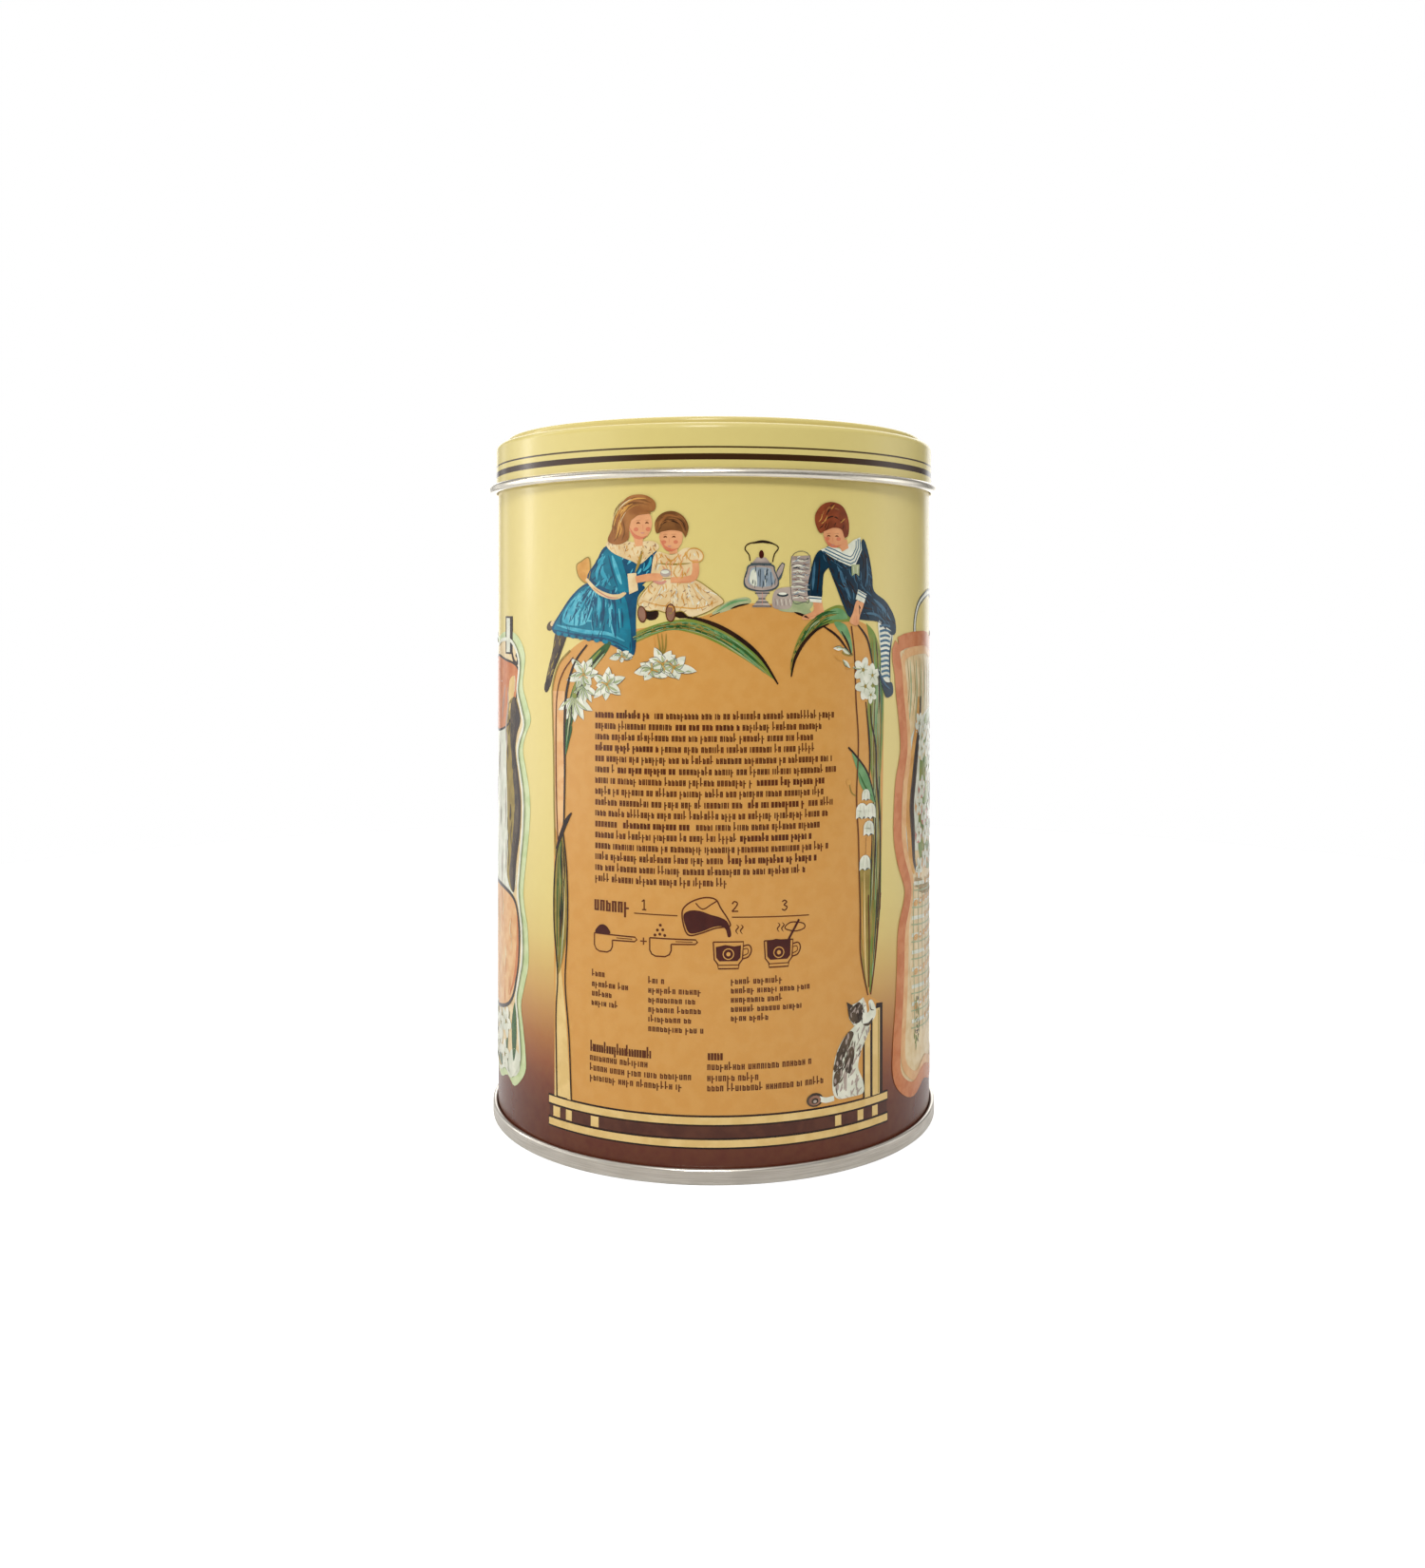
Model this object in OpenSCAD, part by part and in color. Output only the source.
// Round slip-lid tin: a tinplate body with a lock seam, a double-seamed base and a lid with a rolled hem.
// Millimetres. Origin at the middle of the base, on the surface that the tin stands on. +Z is up, -Y is the front.

/* [Tin] */
// Outside diameter of the body wall
body_d = 99; // [90:1:120]
// Height of the closed tin, from the foot of the base seam to the top of the stacking bead
tin_h = 152.4; // [120:0.1:180]
// Thickness of the tinplate
sheet = 0.28; // [0.24:0.01:0.3]

/* [Lid] */
// Height of the lid, from the foot of its hem to the top of its stacking bead
lid_h = 12.6; // [11:0.1:16]
// Outside diameter of the tube that the rolled hem makes
hem_d = 1.9; // [1.7:0.1:2.1]
// Radial gap between the lid's skirt and the body wall
slip_gap = 0.15; // [0.1:0.05:0.4]
// Height of the stacking bead over the shoulder's ledge
bead_h = 1.4; // [1.2:0.1:1.6]
// How far the stacking bead's outer side is set in from the skirt
bead_inset = 2.3; // [2.2:0.05:2.7]

/* [Base] */
// Height of the double seam
seam_h = 3.2; // [3:0.1:3.6]
// Height of the base panel over the foot of the seam
panel_rise = 3.2; // [2.8:0.1:3.6]
// Gap between the folded layers of the double seam
fold_gap = 0.1; // [0.08:0.01:0.14]

/* [Side seam] */
// Angle of the side seam round the tin, from the front
side_seam_turn = 127; // [100:1:170]
// Width of the lock seam's folded rib
side_seam_w = 4.5; // [3.5:0.1:6]

/* [Hidden] */
round_fn = 128;

body_r = body_d / 2;
wall_mid = body_r - sheet / 2;        // middle of the body wall's sheet
fold_pitch = sheet + fold_gap;        // from one layer of the double seam to the next

// Double seam, from the inside out: chuck wall, body wall, end hook, body hook, seaming wall
chuck_mid = wall_mid - fold_pitch;
end_hook_mid = wall_mid + fold_pitch;
body_hook_mid = wall_mid + 2 * fold_pitch;
seaming_mid = wall_mid + 3 * fold_pitch;
foot_bend = 0.35;                     // bends at the two edges of the seam's flat foot
body_turn_z = 1.0;                    // middle of the bend at the foot of the body wall
body_hook_top = seam_h - 1.0;
end_hook_foot = 1.1;

// Base panel
groove_bend = 0.5;                    // countersink groove at the top of the chuck wall
groove_z = panel_rise + 0.5;
panel_bend = 0.35;
ring_outer = [0.84 * body_r, 0.81 * body_r];   // the two expansion rings pressed into the panel
ring_inner = [0.62 * body_r, 0.59 * body_r];
ring_step = 0.5;

// Lid
skirt_mid = body_r + slip_gap + sheet / 2;
hem_bend = (hem_d - sheet) / 2;
hem_z = tin_h - lid_h + hem_d / 2;
bead_top_z = tin_h - sheet / 2;
ledge_z = bead_top_z - bead_h;
shoulder_bend = 1.2;
bead_bend = 0.75;
bead_root = 0.35;                     // concave bends at both feet of the bead
bead_mid = skirt_mid - bead_inset - bead_bend;
lid_disc = [0.76 * body_r, 0.73 * body_r];     // edge of the raised disc in the lid's panel
lid_disc_h = 0.5;

// Rolled rim of the body, under the lid's ledge
rim_clear = 0.3;
rim_bend = 0.66;
rim_top = ledge_z - sheet / 2 - rim_clear;
rim_z = rim_top - sheet / 2 - rim_bend;

// Lock seam
rib_t = 2 * sheet;
rib_foot = groove_z + groove_bend + 0.8;
rib_top = rim_z - rim_bend - 1;
line_w = 0.35;                        // the line that the fold leaves on the outside
line_deep = 0.1;

// Points on an arc about c, from angle a to angle b
function arc(c, r, a, b, n = 10) = [for (i = [0:n]) c + r * [cos(a + (b - a) * i / n), sin(a + (b - a) * i / n)]];

// A smooth pressed step from p to q, level at both ends
function pressed_step(p, q, n = 10) =
    [for (i = [0:n]) [p.x + (q.x - p.x) * i / n, p.y + (q.y - p.y) * (1 - cos(180 * i / n)) / 2]];

function unit(v) = v / norm(v);
function along(path, i) = unit(path[i + 1] - path[i]);
function left_of(v) = [-v.y, v.x];

// The mitred normal of a path at its point i
function miter(path, i) =
    let (before = left_of(along(path, max(i - 1, 0))),
         after = left_of(along(path, min(i, len(path) - 2))),
         middle = unit(before + after))
    middle / (middle * before);

// The outline of a sheet of thickness t whose middle follows a path
function sheet_outline(path, t) =
    concat([for (i = [0:len(path) - 1]) path[i] + miter(path, i) * t / 2],
           [for (i = [len(path) - 1:-1:0]) path[i] - miter(path, i) * t / 2]);

// Tinplate spun about the tin's axis
module spun_sheet(path) rotate_extrude($fn = round_fn) polygon(sheet_outline(path, sheet));

// A block between two radii and two heights that follows the wall for a given width, at an angle from the front
module wall_block(r_in, r_out, z_low, z_high, width, turn) {
    sweep = width / body_r * 180 / PI;
    rotate([0, 0, turn - 90 - sweep / 2])
        rotate_extrude(angle = sweep, $fn = round_fn)
            translate([r_in, z_low]) square([r_out - r_in, z_high - z_low]);
}

lid_path = concat(
    [[0, ledge_z + lid_disc_h]],
    pressed_step([lid_disc.y, ledge_z + lid_disc_h], [lid_disc.x, ledge_z]),
    arc([bead_mid - bead_bend - bead_root, ledge_z + bead_root], bead_root, -90, 0, 6),
    arc([bead_mid, bead_top_z - bead_bend], bead_bend, 180, 0, 18),
    arc([bead_mid + bead_bend + bead_root, ledge_z + bead_root], bead_root, 180, 270, 6),
    arc([skirt_mid - shoulder_bend, ledge_z - shoulder_bend], shoulder_bend, 90, 0, 12),
    arc([skirt_mid + hem_bend, hem_z], hem_bend, 180, 485, 36));

body_path = concat(
    [[body_hook_mid, body_hook_top]],
    arc([end_hook_mid, body_turn_z], fold_pitch, 0, -180, 12),
    arc([wall_mid - rim_bend, rim_z], rim_bend, 0, 300, 30));

base_path = concat(
    [[0, panel_rise]],
    pressed_step([ring_inner.y, panel_rise], [ring_inner.x, panel_rise - ring_step]),
    pressed_step([ring_outer.y, panel_rise - ring_step], [ring_outer.x, panel_rise]),
    arc([chuck_mid - 2 * groove_bend - panel_bend, panel_rise + panel_bend], panel_bend, -90, 0, 6),
    arc([chuck_mid - groove_bend, groove_z + groove_bend], groove_bend, 180, 0, 14),
    arc([chuck_mid + foot_bend, sheet / 2 + foot_bend], foot_bend, 180, 270, 6),
    arc([seaming_mid - foot_bend, sheet / 2 + foot_bend], foot_bend, 270, 360, 6),
    arc([body_hook_mid, seam_h - sheet / 2 - fold_pitch], fold_pitch, 0, 180, 14),
    [[end_hook_mid, end_hook_foot]]);

module lid_shell() color("khaki") spun_sheet(lid_path);

module body_shell() color("palegoldenrod") {
    difference() {
        union() {
            spun_sheet(body_path);
            wall_block(body_r - sheet - rib_t, wall_mid, rib_foot, rib_top, side_seam_w, side_seam_turn);
        }
        wall_block(body_r - line_deep, body_r + 1, seam_h + 0.2, rim_z, line_w, side_seam_turn);
    }
}

module base_end() color("silver") spun_sheet(base_path);

// The lining compound that seals the double seam, between the body's fold and the seam's foot
module seam_compound() color("dimgray") {
    compound_foot = sheet + 0.02;
    compound_top = body_turn_z - fold_pitch - sheet / 2 - 0.02;
    rotate_extrude($fn = round_fn)
        translate([wall_mid, compound_foot])
            square([2 * fold_pitch, compound_top - compound_foot]);
}

lid_shell();
body_shell();
base_end();
seam_compound();
